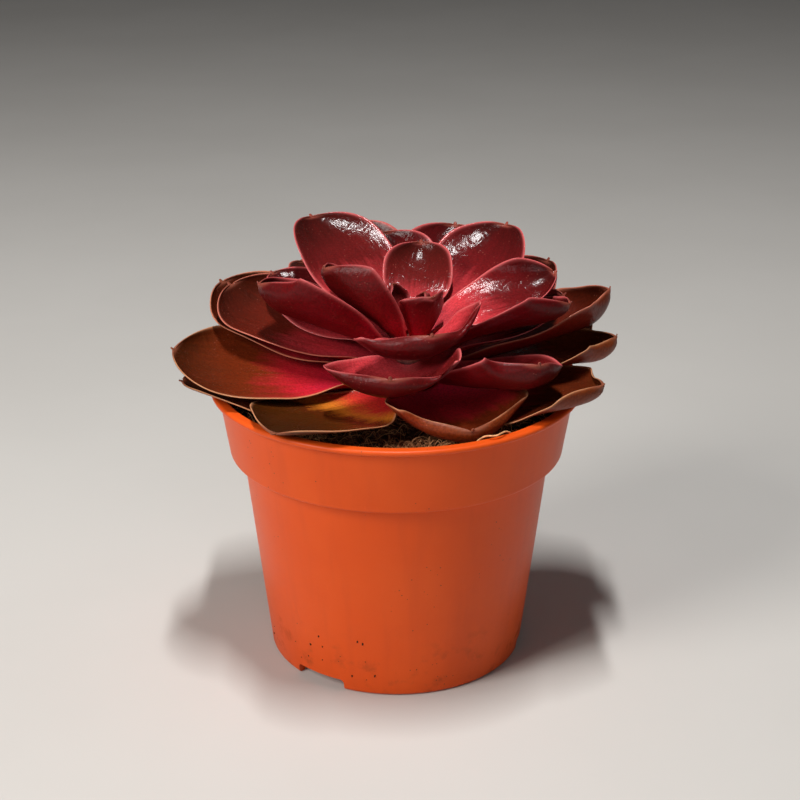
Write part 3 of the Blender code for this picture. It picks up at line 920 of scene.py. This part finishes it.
def gentleBends(share, side):
    along = np.repeat(share, len(side))
    across = np.outer(halfWidth(share), side).ravel()
    shapes = [along**i * across**j for j, most in ((0, 3), (1, 2), (2, 1)) for i in range(most + 1)]
    basis = np.linalg.qr(np.stack(shapes, axis=1))[0]
    return basis @ basis.T


def evened(shift, share):
    narrow = 1.0 - np.clip(halfWidth(share) / 0.6, 0.0, 1.0)[None, :, None, None]
    return shift + narrow * (shift.mean(axis=2, keepdims=True) - shift)


def settled():
    # How far each coarse blade has to move so that they all lie over one another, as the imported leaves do.
    share = coarseShares()
    side = coarseSides()
    grids = [blade(row, share, side) for row in leafRows]
    alone = np.stack([grid[0] for grid in grids])
    thickness = np.stack([grid[1] for grid in grids])
    smooth = gentleBends(share, side)
    shift = np.zeros_like(alone)
    for step in range(settle["passes"]):
        upper = clearOfStem(alone + shift)
        rise, sink = crowding(upper, thickness)
        push = np.clip(rise, 0, settle["push"]) - np.clip(sink, 0, settle["push"])
        lean = unitNormals(upper) + np.array([0.0, 0.0, 0.5])
        lean /= np.linalg.norm(lean, axis=-1, keepdims=True)
        if step < settle["passes"] * (1 - settle["free"]):
            push = blurred(push)
        shift = upper - alone + 0.5 * push[..., None] * lean
        gentle = np.einsum("ab,nbk->nak", smooth, shift.reshape(len(leafRows), -1, 3)).reshape(shift.shape)
        if step < settle["passes"] * settle["gentle"]:
            shift = gentle
        elif step < settle["passes"] * (1 - settle["free"]):
            shift = settle["easing"] * gentle + (1 - settle["easing"]) * evened(shift, share)
    return clearOfStem(alone + shift) - alone


# Ramps run from the leaf's root to its tip, and rows named back colour the underside.
leafColours = {
    "young": [
        (0.0, (0.82, 0.085, 0.110)),
        (0.34, (0.66, 0.048, 0.060)),
        (0.60, (0.150, 0.007, 0.009)),
        (1.0, (0.045, 0.003, 0.003)),
    ],
    "old": [
        (0.0, (0.86, 0.016, 0.070)),
        (0.40, (0.62, 0.016, 0.030)),
        (0.60, (0.180, 0.023, 0.005)),
        (1.0, (0.055, 0.011, 0.002)),
    ],
    "fading": [
        (0.0, (0.55, 0.008, 0.018)),
        (0.24, (0.62, 0.045, 0.020)),
        (0.38, (0.66, 0.210, 0.016)),
        (0.50, (0.070, 0.020, 0.002)),
        (1.0, (0.030, 0.009, 0.001)),
    ],
    "youngBack": [
        (0.0, (0.52, 0.003, 0.022)),
        (0.35, (0.235, 0.001, 0.007)),
        (1.0, (0.095, 0.001, 0.002)),
    ],
    "oldBack": [
        (0.0, (0.50, 0.004, 0.016)),
        (0.45, (0.28, 0.008, 0.004)),
        (1.0, (0.22, 0.042, 0.007)),
    ],
    "speckle": (0.020, 0.002, 0.002),
    "fleck": (0.46, 0.13, 0.09),
    "youngRim": (0.66, 0.12, 0.12),
    "oldRim": (0.60, 0.27, 0.13),
    "worn": (0.050, 0.014, 0.006),
    "tip": (0.20, 0.050, 0.028),
}


def leafPaint():
    gloss = {"Specular_IOR_Level": 0.18, "Subsurface_Weight": 0.05, "Subsurface_Scale": 0.002}
    paint = Paint("succulentSkin", **gloss)
    paint.shader.inputs["Subsurface Radius"].default_value = (1.0, 0.15, 0.10)
    along = paint.field("along")
    across = paint.field("across")
    upper = paint.field("upper")
    age = paint.field("age")
    tone = paint.field("tone")
    rim = paint.field("rim")
    fading = paint.field("fading")
    patch = paint.grain(95, 4, 0.6)
    speckle = paint.grain(1500, 3, 0.6)
    streak = paint.grain(1, 3, 0.6, where=paint.joined(along * 1.6, across * 11, tone * 7))
    reach = (along + (patch - 0.5) * 0.26 + (streak - 0.5) * 0.22).clamped()

    def ramp(key):
        return paint.node("ValToRGB", {"stops": leafColours[key]}, {0: reach})

    face = paint.mix(age, ramp("young"), ramp("old"))
    back = paint.mix(age, ramp("youngBack"), ramp("oldBack"))
    colour = paint.mix(upper, back, face)
    colour = paint.mix(fading, colour, ramp("fading"))
    speckled = speckle.between(0.42, 0.62) * (0.26 + 0.10 * (1 - upper))
    colour = paint.mix(speckled, colour, leafColours["speckle"])
    colour = paint.mix(tone * 0.55, colour, leafColours["worn"])
    fleck = (1 - paint.cells(850).between(0.10, 0.22)) * paint.grain(220, 2).between(0.5, 0.64)
    colour = paint.mix((fleck * 0.34).clamped(), colour, leafColours["fleck"])
    edgeColour = paint.mix(age, leafColours["youngRim"], leafColours["oldRim"])
    colour = paint.mix((rim * (0.75 + 0.5 * (patch - 0.4))).clamped(), colour, edgeColour)
    colour = paint.mix(paint.field("tip") * 0.8, colour, leafColours["tip"])
    crinkle = paint.grain(310, 3, 0.5, distortion=1.0)
    values = {0: paint.place(), 1: crinkle * 0.004}
    shifted = paint.node("VectorMath", {"operation": "ADD"}, values)
    creases = paint.cells(210, where=shifted, feature="SMOOTH_F1")
    rough = 0.10 + 0.10 * patch + 0.20 * (1 - upper) + 0.05 * speckle + 0.08 * age
    normal = paint.bump(crinkle, 0.38, 0.62 * mm)
    normal = paint.bump(creases, 0.17, 0.45 * mm, normal)
    normal = paint.bump(streak, 0.22, 0.40 * mm, normal)
    normal = paint.bump(speckle, 0.14, 0.10 * mm, normal)
    return paint.finish(colour, rough, normal)


def leafGrid(row, shift):
    # A fine upper surface over the settled coarse one, its thickness, and its places on the blade.
    u = np.linspace(0.0, 1.0, leafShape["fineLength"] + 1)
    share = 1.0 - (1.0 - u) ** 1.7
    x = np.linspace(-1.0, 1.0, leafShape["fineWidth"] + 1)
    side = 0.45 * np.sin(x * math.pi / 2) + 0.55 * x
    upper, thickness, half = blade(row, share, side)
    long, wide = leafShape["coarseLength"], leafShape["coarseWidth"]
    rows = curveWeights(long * (1 - (1 - share) ** (1 / coarseSpacing)), long + 1)
    columns = curveWeights(np.interp(side, coarseSides(), np.arange(wide + 1)), wide + 1)
    upper = upper + np.einsum("si,tj,ijk->stk", rows, columns, shift)
    return upper, thickness, share, side, half


def addTip(upper, thickness, share, side, half, size):
    # Carries the blade on into its small hard point.
    steps = 9
    tip = upper[-1].mean(axis=0)
    middle = upper.shape[1] // 2
    forward = upper[-1, middle] - upper[-14, middle]
    forward /= np.linalg.norm(forward)
    across = upper[-6, -1] - upper[-6, 0]
    across -= forward * (across @ forward)
    across /= np.linalg.norm(across)
    normal = np.cross(forward, across)
    rows = []
    thick = []
    for i in range(1, steps + 1):
        t = i / steps
        centre = tip + forward * size * t + normal * size * 0.10 * t * t
        wide = 0.5 * leafShape["narrowest"] * (1 - t) ** 0.7 + 0.12 * mm
        rows.append(centre + across * (side * wide)[:, None])
        thick.append((0.60 * mm * (1 - t) + 0.16 * mm) * (1 - np.abs(side) ** 2.4))
    upper = np.vstack([upper, np.array(rows)])
    thickness = np.vstack([thickness, np.array(thick)])
    share = np.concatenate([share, np.ones(steps)])
    half = np.concatenate([half, np.full(steps, 0.3 * mm)])
    return upper, thickness, share, half


def makeLeaf(number, row, shift, material):
    upper, thickness, share, side, half = leafGrid(row, shift)
    draw = random.Random(300 + number)
    length, width = row[2] * mm, row[3] * mm
    size = leafShape["mucro"] * min(1.0, length / (40 * mm))
    upper, thickness, share, half = addTip(upper, thickness, share, side, half, size)
    normals = unitNormals(upper)
    phase = draw.uniform(0, math.tau)
    count = draw.uniform(1.6, 3.0)
    broad = np.clip(half / (0.3 * width), 0, 1)[:, None]
    swing = np.sin(share * math.tau * count + phase)[:, None] * np.abs(side) ** 3 * np.sign(side + 0.3)
    swing *= smoothStep(share / 0.4)[:, None] * broad
    upper = upper + normals * (leafShape["wave"] * swing)[..., None]
    keel = leafShape["keel"] * np.exp(-((side / 0.16) ** 2)) * broad
    edge = np.minimum(leafShape["margin"], 1.2 * half)[:, None]
    solid = np.maximum(thickness + keel, edge * (1 - 0.35 * np.abs(side) ** 8))
    under = upper - normals * solid[..., None]
    outward = upper[:, [0, -1]] - upper[:, [1, -2]]
    outward /= np.linalg.norm(outward, axis=-1, keepdims=True)
    lip = (upper[:, [0, -1]] + under[:, [0, -1]]) / 2 + outward * (0.55 * edge)[..., None]
    rings = np.concatenate([upper, lip[:, 1:], under[:, ::-1], lip[:, :1]], axis=1)
    rowCount, sides = rings.shape[:2]
    away = (1 - np.abs(side))[None, :] * half[:, None]
    away = np.minimum(away, ((1 - share) * length + 0.1 * mm)[:, None])
    rim = np.exp(-((away / leafShape["rimWidth"]) ** 1.5))
    rim *= smoothStep(share / 0.25)[:, None]
    age = np.clip((number - leafShape["oldFrom"]) / leafShape["oldOver"], 0, 1)
    columns = len(side)
    acrossAll = np.concatenate([side, [1.0], side[::-1], [-1.0]])
    upperAll = np.concatenate([np.ones(columns), [0.5], np.zeros(columns), [0.5]])
    lipRim = np.ones((rowCount, 1))
    rimAll = np.concatenate([rim, lipRim, 0.75 * rim[:, ::-1], lipRim], axis=1)
    fading = 0.9 if number == leafShape["fadingLeaf"] else 0.0
    fields = {
        "along": np.repeat(share, sides),
        "across": np.tile(acrossAll, rowCount),
        "upper": np.tile(upperAll, rowCount),
        "rim": rimAll,
        "age": np.full(rowCount * sides, age),
        "tone": np.full(rowCount * sides, draw.uniform(0, 0.5)),
        "fading": np.full(rowCount * sides, fading),
        "tip": np.repeat(smoothStep((share - 0.975) / 0.025), sides),
    }
    name = f"leaf_{number:02d}"
    points = rings.reshape(-1, 3)
    faces = ringFaces(rowCount, sides)
    addMesh(f"rosette_{name}", points, faces, material, [name], fields, 0)


def makeStem():
    paint = Paint("stemBark", Specular_IOR_Level=0.3)
    scar = paint.grain(1, 4, where=paint.stretched(220, 220, 900))
    colour = paint.mix(scar.between(0.35, 0.7), *plant["barkColours"])
    bark = paint.finish(colour, 0.6 + 0.25 * scar, paint.bump(scar, 0.6, 0.5 * mm))
    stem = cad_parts["stem"]
    stem.data.materials.clear()
    stem.data.materials.append(bark)


def makeLeaves():
    shifts = settled()
    shifts = 0.5 * shifts + 0.5 * blurred(shifts)
    material = leafPaint()
    for number, (row, shift) in enumerate(zip(leafRows, shifts), start=1):
        makeLeaf(number, row, shift, material)
    print("leaves:", len(leafRows), "blades laid over one another")


makeStem()
makeLeaves()


studio = {
    "floorColour": (0.56, 0.54, 0.51),
    "floorPale": (0.60, 0.58, 0.55),
    "floorFront": -5.0,
    "floorBack": 3.4,
    "floorSide": 6.0,
    "coveRadius": 0.9,
    "coveTop": 4.0,
    "worldColour": (0.80, 0.80, 0.82),
    "worldStrength": 0.08,
    # name: place, aim, size, power and colour
    "lights": {
        "keyWindow": ((-0.80, -0.62, 0.74), (0.0, 0.0, 0.08), (0.42, 0.55), 10.2, (1.0, 0.97, 0.93)),
        "topSoftbox": ((0.0, -0.12, 0.98), (0.0, 0.0, 0.10), (0.034, 0.28), 7.5, (1.0, 1.0, 1.0)),
        "fillCard": ((0.12, -1.15, 0.42), (0.0, 0.0, 0.08), (0.5, 0.4), 1.25, (0.93, 0.96, 1.0)),
    },
    "cameraPlace": (0.0, -0.4985, 0.2847),
    "cameraPitch": 21.8,
    "lens": 74.25,
    "shift": 0.0046,
}


def addLight(name, place, aim, size, power, colour):
    lamp = bpy.data.lights.new(name, "AREA")
    lamp.shape = "RECTANGLE"
    lamp.size, lamp.size_y = size
    lamp.energy = power
    lamp.color = colour
    made = bpy.data.objects.new(name, lamp)
    made.location = place
    made.rotation_euler = (Vector(aim) - Vector(place)).to_track_quat("-Z", "Y").to_euler()
    scene.collection.objects.link(made)


def makeFloor():
    paint = Paint("paleFloor", Specular_IOR_Level=0.3)
    cloud = paint.grain(6, 4)
    colour = paint.mix(cloud.between(0.3, 0.7) * 0.5, studio["floorColour"], studio["floorPale"])
    floorMaterial = paint.finish(colour, 0.75 + 0.1 * cloud)
    back, cove = studio["floorBack"], studio["coveRadius"]
    outline = [(studio["floorFront"], 0.0), (back, 0.0)]
    for turn in map(math.radians, range(10, 91, 10)):
        outline.append((back + cove * math.sin(turn), cove - cove * math.cos(turn)))
    outline.append((back + cove, studio["coveTop"]))
    points = [(x, y, z) for y, z in outline for x in (-studio["floorSide"], studio["floorSide"])]
    faces = [[2 * i, 2 * i + 1, 2 * i + 3, 2 * i + 2] for i in range(len(outline) - 1)]
    mesh = bpy.data.meshes.new("floor")
    mesh.from_pydata(points, [], faces)
    mesh.materials.append(floorMaterial)
    mesh.shade_smooth()
    floor = bpy.data.objects.new("floor", mesh)
    scene.collection.objects.link(floor)


def makeStudio():
    makeFloor()
    world = bpy.data.worlds.new("studio")
    world.use_nodes = True
    back = world.node_tree.nodes["Background"]
    back.inputs[0].default_value = (*studio["worldColour"], 1.0)
    back.inputs[1].default_value = studio["worldStrength"]
    scene.world = world
    for name, light in studio["lights"].items():
        addLight(name, *light)
    camera = bpy.data.cameras.new("camera")
    camera.lens = studio["lens"]
    camera.sensor_width = 36.0
    camera.shift_x = studio["shift"]
    camera.clip_start = 0.01
    seat = bpy.data.objects.new("camera", camera)
    seat.location = studio["cameraPlace"]
    seat.rotation_euler = (math.radians(90 - studio["cameraPitch"]), 0.0, 0.0)
    scene.collection.objects.link(seat)
    scene.camera = seat
    scene.view_settings.view_transform = "Standard"
    print("studio: floor, three lights and camera done")


makeStudio()
